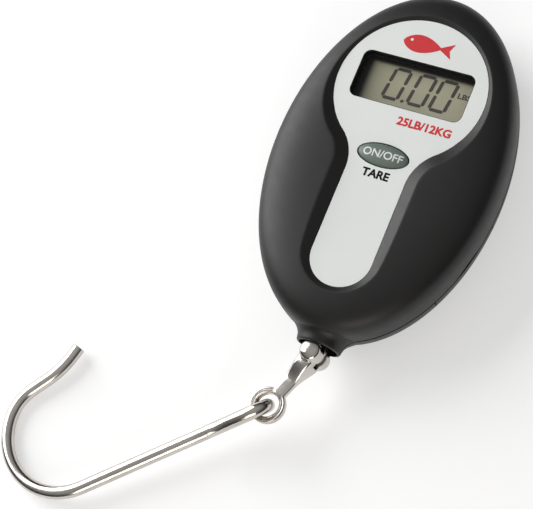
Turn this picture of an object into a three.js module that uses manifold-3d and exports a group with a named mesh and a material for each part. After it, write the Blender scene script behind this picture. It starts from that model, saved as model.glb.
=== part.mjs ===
// Digital fish scale: an egg-shaped housing with a keyhole faceplate, a display, one button,
// a battery drawer, a load cell, and a swivelling link that carries a wire hook.
// Millimetres. The scale lies on its back: z = 0 is the flat back, +Z comes out of the display,
// +Y points to the top of the display, and the hook hangs off the -Y end.
import * as THREE from "three";
import Module from "manifold-3d";
import { mergeVertices } from "three/addons/utils/BufferGeometryUtils.js";

const wasm = await Module();
wasm.setup();

const degree = Math.PI / 180;
const gap = 0.3; // clearance kept between neighbouring pieces
const past = 1; // how far a cutter runs past the face it cuts

// ---------- driving dimensions ----------
const housing = {
  halfWidth: 27.9,
  halfLength: 44,
  seamHeight: 11,
  frontHeight: 22.1,
  frontDome: 5,
  backShoulder: 8.8,
  wall: 2,
  frontCeiling: 19.3,
  plateCeiling: 17.6,
};
const plate = {
  top: 20.6,
  thickness: 0.6,
  headRadius: 18.2,
  headY: 17,
  neckHalfWidth: 7.4,
  filletRadius: 11.5,
  endY: -26.6,
  chamferWidth: 2.9,
};
const display = {
  centreY: 18.1,
  width: 28.1,
  height: 12.5,
  cornerRadius: 2,
  glassWidth: 32,
  glassHeight: 16.5,
  glassThickness: 1.7,
  top: 17.3,
};
const lens = { margin: 1.2, thickness: 0.8, top: 19.7 };
const button = { y: -0.6, halfWidth: 6.15, halfHeight: 2.7, top: 21.5, dome: 1, flange: 1.3, flangeThickness: 0.9 };
const board = { bottom: 12.6, top: 13.8, headRadius: 18, headY: 15, neckHalfWidth: 9, lowY: -7.5, endY: 1.5 };
const tactSwitch = { size: 5.2, height: 1.2, plungerRadius: 1.2, plungerTop: 15.8 };
const loadCell = {
  halfWidth: 8,
  lowY: -37.8,
  highY: -8.6,
  bottom: 8.4,
  top: 13.6,
  endBlock: 4.4,
  nutPocketY: -27.6,
  slotWidth: 1,
  slotReach: 4.6,
  holeRadius: 2.2,
  holeSpacing: 2.6,
};
const screw = { shankRadius: 1, headRadius: 1.9, headHeight: 1.2, postRadius: 2.4 };
const housingScrew = {
  headBottom: 3,
  tipHeight: 15.5,
  postTop: 18.2,
  places: [[12.2, 33], [-12.2, 33], [13.5, -30.5], [-13.5, -30.5]],
};
const cellScrew = { x: 4.8, y: -11.6, headTop: 9.8, tipHeight: 18.6 };
const neck = {
  radius: 5.3,
  flareRadius: 6.4,
  mouthRadius: 4.7,
  endY: -46.3,
  flareY: -43,
  mouthFloorY: -42.9,
  innerY: -39.5,
};
const stud = {
  shankRadius: 2,
  threadRadius: 1.5,
  shoulderRadius: 3.1,
  shoulderY: -43.2,
  shoulderThickness: 1,
  shankTopY: -38.4,
  tipY: -28.2,
  tongueThickness: 1.6,
  tongueRadius: 2.1,
};
const bush = { radius: 3.2, boreRadius: 2.3, flangeRadius: 4.6, flangeThickness: 0.8 };
const pin = { radius: 1.1, tipHeight: 3.4, headRadius: 1.6, headHeight: 0.4 };
const link = {
  pivotY: -48.2,
  length: 15.617,
  tilt: 22.71,
  barrelLow: -4.7,
  barrelHigh: 5.8,
  strapHalfWidth: 1.8,
  strapThickness: 2,
  rootThickness: 5.8,
  rootY: -3.2,
  flareHalfWidth: 2.4,
  flareLength: 8,
  ringRadius: 4.4,
  ringHoleRadius: 2.8,
};
const hook = {
  wireRadius: 1.6,
  turn: 25.29,
  foldRadius: 3.1,
  foldLean: 22,
  foldLength: 15.2,
  foldEndGap: 3.4,
  shank: 49.1,
  bendRadius: 15.3,
  bendAngle: 125,
  backRadius: 11.3,
  backAngle: 44,
  backStraight: 4.7,
  flareRadius: 21,
  flareAngle: 22,
  tipStraight: 2.5,
};
const drawer = {
  heading: -14.5,
  cellX: 12.4,
  cellY: -13.8,
  halfWidth: 10.9,
  bottom: 2.1,
  top: 6.6,
  floor: 0.8,
  bezelInner: 11.2,
  bezelOuter: 13.9,
};
const nailSlot = { halfLength: 7.6, rim: 0.7, inner: 1.8, bottom: 9.2, scoopDepth: 0.7, scoopTop: 13.2 };
const coinCell = { radius: 10, thickness: 3.2, bottom: 3.2, rimRadius: 8.4, rimHeight: 0.5 };

// ---------- geometry helpers ----------
function toSolid(geometry) {
  const bare = geometry.clone();
  bare.deleteAttribute("normal");
  bare.deleteAttribute("uv");
  const merged = mergeVertices(bare, 1e-4);
  const vertProperties = Float32Array.from(merged.attributes.position.array);
  const triVerts = Uint32Array.from(merged.index.array);
  return new wasm.Manifold(new wasm.Mesh({ numProp: 3, vertProperties, triVerts }));
}

function toGeometry(solid) {
  const mesh = solid.getMesh();
  const geometry = new THREE.BufferGeometry();
  geometry.setAttribute("position", new THREE.BufferAttribute(Float32Array.from(mesh.vertProperties), 3));
  geometry.setIndex(new THREE.BufferAttribute(Uint32Array.from(mesh.triVerts), 1));
  const faceted = geometry.toNonIndexed();
  faceted.computeVertexNormals();
  return faceted;
}

function placed(geometry, x, y, z) {
  return toSolid(geometry.clone().translate(x, y, z));
}

function box(lowX, lowY, lowZ, highX, highY, highZ) {
  const geometry = new THREE.BoxGeometry(highX - lowX, highY - lowY, highZ - lowZ);
  return placed(geometry, (lowX + highX) / 2, (lowY + highY) / 2, (lowZ + highZ) / 2);
}

function rodZ(x, y, lowZ, highZ, radius, sides = 20) {
  const geometry = new THREE.CylinderGeometry(radius, radius, highZ - lowZ, sides);
  geometry.rotateX(Math.PI / 2);
  return placed(geometry, x, y, (lowZ + highZ) / 2);
}

function rodY(lowY, highY, radius, sides = 28) {
  const geometry = new THREE.CylinderGeometry(radius, radius, highY - lowY, sides);
  return placed(geometry, 0, (lowY + highY) / 2, 0);
}

// A solid turned about Z from [radius, z] points that start and end on the axis, or close on themselves.
function turnedZ(profile, sides = 28) {
  const points = profile.map(([radius, z]) => new THREE.Vector2(radius, z));
  return toSolid(new THREE.LatheGeometry(points, sides).rotateX(Math.PI / 2));
}

function turnedY(profile, sides = 24) {
  const points = profile.map(([radius, y]) => new THREE.Vector2(radius, y));
  return toSolid(new THREE.LatheGeometry(points, sides));
}

function slab(shape, lowZ, highZ, curveSegments = 8) {
  const geometry = new THREE.ExtrudeGeometry(shape, { depth: highZ - lowZ, bevelEnabled: false, curveSegments });
  return placed(geometry, 0, 0, lowZ);
}

// A solid that joins outlines of equal point count, stacked at rising heights.
function stacked(outlines, heights) {
  const count = outlines[0].length;
  const positions = [];
  outlines.forEach((outline, level) => {
    outline.forEach((point) => positions.push(point.x, point.y, heights[level]));
  });
  const index = [];
  for (let level = 0; level + 1 < outlines.length; level += 1) {
    for (let i = 0; i < count; i += 1) {
      const a = level * count + i;
      const b = level * count + ((i + 1) % count);
      index.push(a, b, b + count, a, b + count, a + count);
    }
  }
  const lastRing = (outlines.length - 1) * count;
  THREE.ShapeUtils.triangulateShape(outlines[0], []).forEach(([a, b, c]) => index.push(a, c, b));
  THREE.ShapeUtils.triangulateShape(outlines.at(-1), []).forEach(([a, b, c]) => {
    index.push(lastRing + a, lastRing + b, lastRing + c);
  });
  const geometry = new THREE.BufferGeometry();
  geometry.setAttribute("position", new THREE.BufferAttribute(new Float32Array(positions), 3));
  geometry.setIndex(index);
  return toSolid(geometry);
}

function ovalPoints(inset, share = 1, count = 72) {
  const halfWidth = (housing.halfWidth - inset) * share;
  const halfLength = (housing.halfLength - inset) * share;
  return new THREE.EllipseCurve(0, 0, halfWidth, halfLength).getPoints(count).slice(0, count);
}

function ovalSlab(lowZ, highZ, inset) {
  return stacked([ovalPoints(inset), ovalPoints(inset)], [lowZ, highZ]);
}

// The front half of the egg: a dome whose height falls off towards the rim.
function frontDome(topZ, inset) {
  const rise = topZ - housing.seamHeight;
  const shares = [1, 0.99, 0.96, 0.91, 0.83, 0.72, 0.55, 0.3];
  const outlines = shares.map((share) => ovalPoints(inset, share));
  const heights = shares.map((share) => {
    return housing.seamHeight + rise * (1 - share ** housing.frontDome) ** (1 / housing.frontDome);
  });
  return stacked(outlines, heights);
}

// The rear half of the egg: a flat back with a quarter-ellipse shoulder round it.
function rearBowl(lowZ, inset, shoulder, levels = 6) {
  const outlines = [];
  const heights = [];
  for (let level = levels - 1; level >= 0; level -= 1) {
    const angle = (level / (levels - 1)) * 90 * degree;
    outlines.push(ovalPoints(inset + shoulder * (1 - Math.cos(angle))));
    heights.push(housing.seamHeight - (housing.seamHeight - lowZ) * Math.sin(angle));
  }
  return stacked(outlines, heights);
}

function buttonOutline(offset, share = 1) {
  const halfWidth = (button.halfWidth + offset) * share;
  const halfHeight = (button.halfHeight + offset) * share;
  return new THREE.Shape().absellipse(0, button.y, halfWidth, halfHeight, 0, 2 * Math.PI, false, 0);
}

function roundedRectangle(width, height, radius, centreY) {
  const x = width / 2 - radius;
  const low = centreY - height / 2 + radius;
  const high = centreY + height / 2 - radius;
  const shape = new THREE.Shape();
  shape.absarc(x, low, radius, -90 * degree, 0, false);
  shape.absarc(x, high, radius, 0, 90 * degree, false);
  shape.absarc(-x, high, radius, 90 * degree, 180 * degree, false);
  shape.absarc(-x, low, radius, 180 * degree, 270 * degree, false);
  return shape;
}

// The faceplate's outline: a round head, two concave fillets and a straight handle with a round end.
function keyholeShape(offset) {
  const filletX = plate.neckHalfWidth + plate.filletRadius;
  const reach = plate.headRadius + plate.filletRadius;
  const drop = Math.sqrt(reach ** 2 - filletX ** 2);
  const filletY = plate.headY - drop;
  const lean = Math.atan2(drop, filletX);
  const filletRadius = plate.filletRadius - offset;
  const shape = new THREE.Shape();
  shape.absarc(0, plate.headY, plate.headRadius + offset, -lean, Math.PI + lean, false);
  shape.absarc(-filletX, filletY, filletRadius, lean, 0, true);
  shape.absarc(0, plate.endY, plate.neckHalfWidth + offset, Math.PI, 2 * Math.PI, false);
  shape.absarc(filletX, filletY, filletRadius, Math.PI, Math.PI - lean, true);
  return shape;
}

function subMesh(name, solid, color, roughness, metalness, parent) {
  const material = new THREE.MeshStandardMaterial({ color, roughness, metalness });
  const mesh = new THREE.Mesh(toGeometry(solid), material);
  mesh.name = name;
  parent.add(mesh);
  return mesh;
}

const colour = {
  shell: 0x2e2d2f,
  plate: 0xe4e7e4,
  lens: 0xdfe6e6,
  lcd: 0x9a957f,
  button: 0x6d7a70,
  metal: 0xc9c7c2,
  brass: 0xc8a95a,
  aluminium: 0xb9bcc0,
  board: 0x2f6b3d,
  dark: 0x1c1c1e,
  gauge: 0xb8772f,
};

const scale = new THREE.Group();

// ---------- shells ----------
// Moves a solid drawn along +X from the coin cell's centre to the drawer's place and heading.
function inDrawer(solid) {
  return solid.rotate([0, 0, drawer.heading]).translate([drawer.cellX, drawer.cellY, 0]);
}

// The drawer's room: a low tray and, at its outer end, a taller bezel that reaches up to the seam.
function drawerBlock(clearance) {
  const outerEnd = 40;
  const half = drawer.halfWidth + clearance;
  const low = drawer.bottom - clearance;
  const bezelTop = housing.seamHeight - gap / 2 + (clearance > 0 ? past : 0);
  const tray = box(-half, -half, low, outerEnd, half, drawer.top + clearance);
  return inDrawer(tray.add(box(drawer.bezelInner - clearance, -half, low, outerEnd, half, bezelTop)));
}

function neckCuts() {
  const mouth = rodY(neck.endY - past, neck.mouthFloorY, neck.mouthRadius);
  const bore = rodY(neck.mouthFloorY - past, neck.innerY + past, bush.radius + gap);
  const flangeRoom = rodY(neck.innerY, neck.innerY + 2, bush.flangeRadius + gap);
  return mouth.add(bore).add(flangeRoom).translate([0, 0, housing.seamHeight]);
}

function neckBoss() {
  const { radius, flareRadius, endY, flareY, innerY } = neck;
  const profile = [[0, endY], [radius - 0.4, endY], [radius, endY + 0.5], [radius + 0.3, endY + 1.6]];
  profile.push([flareRadius, flareY], [flareRadius, innerY], [0, innerY]);
  return turnedY(profile, 36).translate([0, 0, housing.seamHeight]);
}

function aboveHeight(solid, height) {
  return solid.intersect(box(-60, -60, height, 60, 60, 60));
}

function belowHeight(solid, height) {
  return solid.intersect(box(-60, -60, -60, 60, 60, height));
}

function frontShell() {
  const seam = housing.seamHeight;
  const outer = frontDome(housing.frontHeight, 0);
  const room = frontDome(housing.frontCeiling, housing.wall);
  const belowPlate = slab(keyholeShape(plate.chamferWidth + housing.wall), housing.plateCeiling, 20);
  const cavity = room.subtract(belowPlate).add(ovalSlab(seam - past, seam + past, housing.wall));
  let shell = outer.subtract(cavity).add(neckBoss());
  for (const [x, y] of housingScrew.places) {
    shell = shell.add(rodZ(x, y, seam, housingScrew.postTop, screw.postRadius).intersect(outer));
  }
  for (const x of [-cellScrew.x, cellScrew.x]) {
    shell = shell.add(rodZ(x, cellScrew.y, loadCell.top + gap, housing.plateCeiling + past, screw.postRadius));
  }
  const floor = plate.top - plate.thickness - gap;
  const recessRise = housing.frontHeight - plate.top;
  const overshoot = 1 + past / recessRise;
  const chamferOutlines = [keyholeShape(gap), keyholeShape(gap + plate.chamferWidth * overshoot)];
  const chamfer = stacked(
    chamferOutlines.map((shape) => shape.extractPoints(8).shape.slice(0, -1)),
    [plate.top, housing.frontHeight + past],
  );
  shell = shell.subtract(slab(keyholeShape(gap), floor, plate.top + gap)).subtract(chamfer);
  const windowHole = roundedRectangle(display.width, display.height, display.cornerRadius, display.centreY);
  const lensWidth = display.width + 2 * (lens.margin + gap);
  const lensHeight = display.height + 2 * (lens.margin + gap);
  const lensPocket = roundedRectangle(lensWidth, lensHeight, display.cornerRadius + 1, display.centreY);
  shell = shell.subtract(slab(windowHole, housing.plateCeiling - past, floor + past));
  shell = shell.subtract(slab(lensPocket, lens.top - lens.thickness - gap, floor + past));
  shell = shell.subtract(slab(buttonOutline(gap), housing.plateCeiling - past, floor + past));
  for (const [x, y] of housingScrew.places) {
    shell = shell.subtract(rodZ(x, y, seam - past, housingScrew.tipHeight + gap, screw.shankRadius + gap, 12));
  }
  for (const x of [-cellScrew.x, cellScrew.x]) {
    const hole = rodZ(x, cellScrew.y, seam, cellScrew.tipHeight + gap, screw.shankRadius + gap, 12);
    shell = shell.subtract(hole);
  }
  shell = shell.subtract(nailScoop());
  return aboveHeight(shell.subtract(neckCuts()), seam + gap / 2);
}

// A sloping flat cut in the front shell's rim, over the drawer, that lets a fingernail in.
function nailScoop() {
  const { scoopDepth, scoopTop, halfLength } = nailSlot;
  const rise = scoopTop - housing.seamHeight;
  const shape = new THREE.Shape();
  shape.moveTo(drawer.bezelOuter - scoopDepth, -past);
  shape.lineTo(drawer.bezelOuter + 6, -past);
  shape.lineTo(drawer.bezelOuter + 6, rise);
  shape.lineTo(drawer.bezelOuter + 0.1, rise);
  const wedge = slab(shape, -halfLength - 3, halfLength + 3, 2).rotate([90, 0, 0]);
  return inDrawer(wedge.translate([0, 0, housing.seamHeight]));
}

function rearShell() {
  const seam = housing.seamHeight;
  const outer = rearBowl(0, 0, housing.backShoulder);
  const room = rearBowl(housing.wall, housing.wall, housing.backShoulder - 1);
  const cavity = room.add(ovalSlab(seam - past, seam + past, housing.wall));
  let shell = outer.subtract(cavity).add(neckBoss());
  for (const [x, y] of housingScrew.places) {
    shell = shell.add(rodZ(x, y, housing.wall, seam, screw.postRadius).intersect(outer));
  }
  shell = shell.subtract(drawerBlock(gap));
  for (const [x, y] of housingScrew.places) {
    const headRoom = housingScrew.headBottom + screw.headHeight + gap;
    shell = shell.subtract(rodZ(x, y, -past, headRoom, screw.headRadius + gap, 16));
    shell = shell.subtract(rodZ(x, y, 0, seam + past, screw.shankRadius + gap, 12));
  }
  return belowHeight(shell.subtract(neckCuts()), seam - gap / 2);
}

subMesh("front_shell", frontShell(), colour.shell, 0.6, 0, scale);
subMesh("rear_shell", rearShell(), colour.shell, 0.6, 0, scale);

// ---------- faceplate, window and display ----------
function faceplate() {
  const low = plate.top - plate.thickness;
  const blank = slab(keyholeShape(0), low, plate.top);
  const windowHole = roundedRectangle(display.width, display.height, display.cornerRadius, display.centreY);
  const cuts = slab(windowHole, low - past, plate.top + past);
  return blank.subtract(cuts.add(slab(buttonOutline(gap), low - past, plate.top + past)));
}

function windowLens() {
  const width = display.width + 2 * lens.margin;
  const height = display.height + 2 * lens.margin;
  const outline = roundedRectangle(width, height, display.cornerRadius + 1, display.centreY);
  return slab(outline, lens.top - lens.thickness, lens.top);
}

function lcdFrame() {
  const width = display.glassWidth + 2 * gap;
  const height = display.glassHeight + 2 * gap;
  const rim = 1;
  const low = board.top + gap;
  const outer = roundedRectangle(width + 2 * rim, height + 2 * rim, 1.5, display.centreY);
  const inner = roundedRectangle(width, height, 0.4, display.centreY);
  return slab(outer, low, display.top, 4).subtract(slab(inner, low - past, display.top + past, 2));
}

function lcdPanel() {
  const low = display.top - display.glassThickness;
  const outline = roundedRectangle(display.glassWidth, display.glassHeight, 0.3, display.centreY);
  return slab(outline, low, display.top, 2);
}

function contactStrip(side) {
  const y = display.centreY + side * (display.glassHeight / 2 - 1.4);
  const high = display.top - display.glassThickness - gap;
  return box(-14, y - 1, board.top + gap, 14, y + 1, high);
}

subMesh("faceplate", faceplate(), colour.plate, 0.35, 0, scale);
subMesh("window_lens", windowLens(), colour.lens, 0.05, 0, scale);
subMesh("lcd_frame", lcdFrame(), colour.dark, 0.6, 0, scale);
subMesh("lcd_panel", lcdPanel(), colour.lcd, 0.25, 0, scale);
subMesh("contact_strip_upper", contactStrip(1), colour.dark, 0.8, 0, scale);
subMesh("contact_strip_lower", contactStrip(-1), colour.dark, 0.8, 0, scale);

// ---------- board and its parts ----------
function mainBoard() {
  const disc = rodZ(0, board.headY, board.bottom, board.top, board.headRadius, 48);
  const tab = box(-board.neckHalfWidth, board.lowY, board.bottom, board.neckHalfWidth, board.endY, board.top);
  return disc.add(tab);
}

function boardPart(lowX, lowY, width, length, height) {
  const low = board.top + gap;
  return box(lowX, lowY, low, lowX + width, lowY + length, low + height);
}

function switchBase() {
  const half = tactSwitch.size / 2;
  const low = board.top + gap;
  const well = rodZ(0, button.y, low + 0.2, low + tactSwitch.height + past, tactSwitch.plungerRadius + gap, 16);
  return box(-half, button.y - half, low, half, button.y + half, low + tactSwitch.height).subtract(well);
}

function switchPlunger() {
  return rodZ(0, button.y, tactSwitch.plungerTop - 1, tactSwitch.plungerTop, tactSwitch.plungerRadius, 24);
}

function powerButton() {
  const flangeTop = housing.plateCeiling - gap;
  const flangeLow = flangeTop - button.flangeThickness;
  const angles = [0, 25, 50, 75];
  const sides = buttonOutline(0).getPoints(32).slice(0, -1);
  const rings = angles.map((angle) => buttonOutline(0, Math.cos(angle * degree)).getPoints(32).slice(0, -1));
  const heights = angles.map((angle) => button.top - button.dome * (1 - Math.sin(angle * degree)));
  const cap = stacked([sides, ...rings], [flangeLow, ...heights]);
  const stem = rodZ(0, button.y, tactSwitch.plungerTop + gap, flangeTop, 1.2, 24);
  return cap.add(slab(buttonOutline(button.flange), flangeLow, flangeTop)).add(stem);
}

subMesh("main_board", mainBoard(), colour.board, 0.5, 0, scale);
subMesh("controller_chip", boardPart(-10, 0.6, 5, 5, 1.1), colour.dark, 0.5, 0, scale);
subMesh("crystal_can", boardPart(5.5, 2, 6, 2, 1.8), colour.aluminium, 0.3, 0.9, scale);
subMesh("switch_base", switchBase(), colour.metal, 0.4, 0.6, scale);
subMesh("switch_plunger", switchPlunger(), colour.dark, 0.5, 0, scale);
subMesh("power_button", powerButton(), colour.button, 0.45, 0, scale);

// ---------- load cell ----------
function loadCellBlock() {
  const { halfWidth, lowY, highY, bottom, top } = loadCell;
  const low = bottom - past;
  const high = top + past;
  const half = loadCell.slotWidth / 2;
  const lowerSlotY = -26;
  const upperSlotY = -15;
  const middleY = (lowerSlotY + upperSlotY) / 2;
  let block = box(-halfWidth, lowY, bottom, halfWidth, highY, top);
  block = block.subtract(box(-4.5, lowY + loadCell.endBlock, low, 4.5, loadCell.nutPocketY, high));
  block = block.subtract(box(-halfWidth - past, lowerSlotY - half, low, loadCell.slotReach, lowerSlotY + half, high));
  block = block.subtract(box(-loadCell.slotReach, upperSlotY - half, low, halfWidth + past, upperSlotY + half, high));
  block = block.subtract(box(-loadCell.holeSpacing, middleY - half, low, loadCell.holeSpacing, middleY + half, high));
  for (const x of [-loadCell.holeSpacing, loadCell.holeSpacing]) {
    block = block.subtract(rodZ(x, middleY, low, high, loadCell.holeRadius));
  }
  const studHole = rodY(lowY - past, lowY + loadCell.endBlock + past, stud.threadRadius + gap, 16);
  block = block.subtract(studHole.translate([0, 0, housing.seamHeight]));
  for (const x of [-cellScrew.x, cellScrew.x]) {
    block = block.subtract(rodZ(x, cellScrew.y, low, high, screw.shankRadius + gap, 12));
    block = block.subtract(rodZ(x, cellScrew.y, low, cellScrew.headTop + gap, screw.headRadius + gap, 16));
  }
  return block;
}

function strainGauge(side) {
  const x = side * (loadCell.halfWidth + gap);
  const outer = x + side * 0.3;
  const { seamHeight } = housing;
  return box(Math.min(x, outer), -23, seamHeight - 1.6, Math.max(x, outer), -18, seamHeight + 1.6);
}

function machineScrew(x, y, headLow, tipZ) {
  const head = rodZ(x, y, headLow, headLow + screw.headHeight, screw.headRadius, 16);
  const slot = box(x - 1.3, y - 0.25, headLow - past, x + 1.3, y + 0.25, headLow + 0.5);
  return head.subtract(slot).add(rodZ(x, y, headLow + screw.headHeight - 0.2, tipZ, screw.shankRadius, 12));
}

subMesh("load_cell", loadCellBlock(), colour.aluminium, 0.35, 0.9, scale);
subMesh("strain_gauge_left", strainGauge(-1), colour.gauge, 0.5, 0.1, scale);
subMesh("strain_gauge_right", strainGauge(1), colour.gauge, 0.5, 0.1, scale);
subMesh("gauge_flex", box(-9.7, -22, 14.1, -7.7, -6.5, 14.4), colour.gauge, 0.5, 0.1, scale);
for (const [label, x] of [["left", -cellScrew.x], ["right", cellScrew.x]]) {
  const solid = machineScrew(x, cellScrew.y, cellScrew.headTop - screw.headHeight, cellScrew.tipHeight);
  subMesh(`load_cell_screw_${label}`, solid, colour.metal, 0.35, 0.9, scale);
}
housingScrew.places.forEach(([x, y], i) => {
  const solid = machineScrew(x, y, housingScrew.headBottom, housingScrew.tipHeight);
  subMesh(`housing_screw_${i + 1}`, solid, colour.metal, 0.35, 0.9, scale);
});

// ---------- battery drawer ----------
function batteryDrawer() {
  const { cellX, cellY, bottom, top, floor, bezelInner } = drawer;
  const { halfLength, rim, inner } = nailSlot;
  const seam = housing.seamHeight;
  let tray = drawerBlock(0).intersect(rearBowl(0, 0, housing.backShoulder));
  tray = tray.subtract(rodZ(cellX, cellY, bottom + floor, top + past, coinCell.radius + gap, 48));
  tray = tray.subtract(rodZ(cellX, cellY, bottom - past, top, coinCell.radius - 1.4, 32));
  const contactSlot = box(-20, -2.5, bottom - past, 0, 2.5, coinCell.bottom);
  const slotRing = ovalSlab(nailSlot.bottom, seam + past, rim).subtract(ovalSlab(0, seam + 2 * past, inner));
  const slotReach = inDrawer(box(bezelInner, -halfLength, 0, 40, halfLength, seam + past));
  return tray.subtract(inDrawer(contactSlot)).subtract(slotRing.intersect(slotReach));
}

function coinCellSolid() {
  const { radius, thickness, bottom, rimRadius, rimHeight } = coinCell;
  const top = bottom + thickness;
  const profile = [[0, bottom], [rimRadius, bottom], [rimRadius, bottom + rimHeight], [radius, bottom + rimHeight]];
  profile.push([radius, top], [0, top]);
  return turnedZ(profile, 40).translate([drawer.cellX, drawer.cellY, 0]);
}

function lowerContact() {
  const low = drawer.bottom;
  const strip = box(-10.8, -1.5, low, -2, 1.5, low + 0.4);
  return inDrawer(strip.add(box(-4, -1.5, low + 0.3, -2, 1.5, coinCell.bottom - gap)));
}

function upperContact() {
  const low = drawer.top + gap;
  return box(12, -16, low, 15, -5, low + 0.4).add(box(12, -5.4, low, 15, -5, 12.6));
}

subMesh("battery_drawer", batteryDrawer(), colour.shell, 0.6, 0, scale);
subMesh("coin_cell", coinCellSolid(), colour.metal, 0.3, 0.9, scale);
subMesh("battery_contact_lower", lowerContact(), colour.brass, 0.35, 0.9, scale);
subMesh("battery_contact_upper", upperContact(), colour.brass, 0.35, 0.9, scale);

// ---------- neck, swivel stud and nut ----------
function neckBush() {
  const low = neck.mouthFloorY + gap;
  const high = neck.innerY + gap;
  const { radius, boreRadius, flangeRadius, flangeThickness } = bush;
  const profile = [[boreRadius, low], [radius, low], [radius, high], [flangeRadius, high]];
  profile.push([flangeRadius, high + flangeThickness], [boreRadius, high + flangeThickness], [boreRadius, low]);
  return turnedY(profile).translate([0, 0, housing.seamHeight]);
}

function swivelStud() {
  const { shankRadius, threadRadius, shoulderRadius, shoulderY, shoulderThickness, shankTopY, tipY } = stud;
  const half = stud.tongueThickness / 2;
  const low = shoulderY - shoulderThickness;
  const profile = [[0, low], [shoulderRadius, low], [shoulderRadius, shoulderY], [shankRadius, shoulderY]];
  profile.push([shankRadius, shankTopY], [threadRadius, shankTopY], [threadRadius, tipY - 0.4]);
  profile.push([threadRadius - 0.4, tipY], [0, tipY]);
  const tongue = box(-stud.tongueRadius, link.pivotY, -half, stud.tongueRadius, low + 0.2, half);
  const eye = rodZ(0, link.pivotY, -half, half, stud.tongueRadius);
  const hole = rodZ(0, link.pivotY, -half - past, half + past, pin.radius + gap, 16);
  return turnedY(profile).add(tongue).add(eye).subtract(hole);
}

function thrustWasher() {
  const low = loadCell.lowY + loadCell.endBlock + gap;
  const ring = rodY(low, low + 0.8, 3.1).subtract(rodY(low - past, low + past, stud.threadRadius + gap, 16));
  return ring;
}

function studNut() {
  const low = loadCell.lowY + loadCell.endBlock + 2 * gap + 0.8;
  const acrossCorners = 6.2;
  const bore = rodY(low - past, low + 4, stud.threadRadius + gap, 16);
  return rodY(low, low + 2.4, acrossCorners / 2, 6).subtract(bore);
}

subMesh("neck_bush", neckBush(), colour.dark, 0.5, 0, scale);

// The far end of the hook rests on the floor, so the stud is turned about the neck by this angle.
const shankDrop = hook.foldRadius * Math.cos(hook.foldLean * degree);
const hookReach = 69.1; // sideways distance from the neck's axis to the hook's far side
const floorClearance = 0.05;
const settle = Math.asin((housing.seamHeight - shankDrop - hook.wireRadius - floorClearance) / hookReach);

const swivelGroup = new THREE.Group();
swivelGroup.position.set(0, 0, housing.seamHeight);
swivelGroup.rotation.y = -settle;
scale.add(swivelGroup);
subMesh("swivel_stud", swivelStud(), colour.metal, 0.2, 1, swivelGroup);
subMesh("thrust_washer", thrustWasher(), colour.metal, 0.3, 0.9, swivelGroup);
subMesh("stud_nut", studNut(), colour.metal, 0.3, 0.9, swivelGroup);

// ---------- link ----------
// A slim barrel on the hinge axis: a flat lower end, and a domed upper end that clears the neck's lip.
function linkHead() {
  const { barrelLow, barrelHigh } = link;
  const profile = [[0, barrelLow], [1.85, barrelLow], [2.45, -4.2], [2.6, -3.6], [2.6, 3.6], [2.45, 4.2]];
  profile.push([2.1, 4.5], [1.85, 4.7], [1.35, 5.2], [0.7, 5.6], [0, barrelHigh]);
  return turnedZ(profile);
}

function linkStrap() {
  const { strapHalfWidth, flareHalfWidth, flareLength, length } = link;
  const shape = new THREE.Shape();
  shape.moveTo(strapHalfWidth, -length);
  shape.lineTo(strapHalfWidth, -flareLength);
  shape.quadraticCurveTo(strapHalfWidth, -flareLength / 2, flareHalfWidth, -2);
  shape.lineTo(-flareHalfWidth, -2);
  shape.quadraticCurveTo(-strapHalfWidth, -flareLength / 2, -strapHalfWidth, -flareLength);
  shape.lineTo(-strapHalfWidth, -length);
  const thin = link.strapThickness / 2;
  const thick = link.rootThickness / 2;
  const ringSide = -length + link.ringRadius - 1;
  const side = new THREE.Shape();
  side.moveTo(thick, 0);
  side.lineTo(thick, link.rootY);
  side.quadraticCurveTo(1.1 * thin, -flareLength, thin, ringSide);
  side.lineTo(thin, -length - past);
  side.lineTo(-thin, -length - past);
  side.lineTo(-thin, ringSide);
  side.quadraticCurveTo(-1.1 * thin, -flareLength, -thick, link.rootY);
  side.lineTo(-thick, 0);
  const wedge = slab(side, -past - flareHalfWidth, past + flareHalfWidth, 6).rotate([0, -90, 0]);
  return slab(shape, -thick, thick, 6).intersect(wedge);
}

function linkRing() {
  const middle = (link.ringRadius + link.ringHoleRadius) / 2;
  const halfWidth = (link.ringRadius - link.ringHoleRadius) / 2;
  const profile = [];
  for (let step = 0; step <= 10; step += 1) {
    const angle = step * 36 * degree;
    profile.push([middle + halfWidth * Math.cos(angle), (link.strapThickness / 2) * Math.sin(angle)]);
  }
  return turnedZ(profile).translate([0, -link.length, 0]);
}

function linkSolid() {
  const slotHalf = stud.tongueThickness / 2 + gap;
  const slot = box(-6, -stud.tongueRadius - gap, -slotHalf, 6, 6, slotHalf);
  const ringHole = rodZ(0, -link.length, -link.ringRadius, link.ringRadius, link.ringHoleRadius + 0.1, 40);
  const pinHole = rodZ(0, 0, link.barrelLow - past, pin.tipHeight + gap, pin.radius + gap, 16);
  const strap = linkStrap().subtract(ringHole);
  return linkHead().add(strap).add(linkRing()).subtract(slot).subtract(pinHole);
}

function pivotPin() {
  const headTop = link.barrelLow - gap;
  const headLow = headTop - pin.headHeight;
  const profile = [[0, headLow], [pin.headRadius - 0.3, headLow], [pin.headRadius, headTop], [pin.radius, headTop]];
  profile.push([pin.radius, pin.tipHeight], [0, pin.tipHeight]);
  return turnedZ(profile);
}

const linkGroup = new THREE.Group();
linkGroup.position.set(0, link.pivotY, 0);
linkGroup.rotation.z = -link.tilt * degree;
swivelGroup.add(linkGroup);
subMesh("link", linkSolid(), colour.metal, 0.15, 1, linkGroup);
subMesh("pivot_pin", pivotPin(), colour.metal, 0.2, 1, linkGroup);

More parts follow.
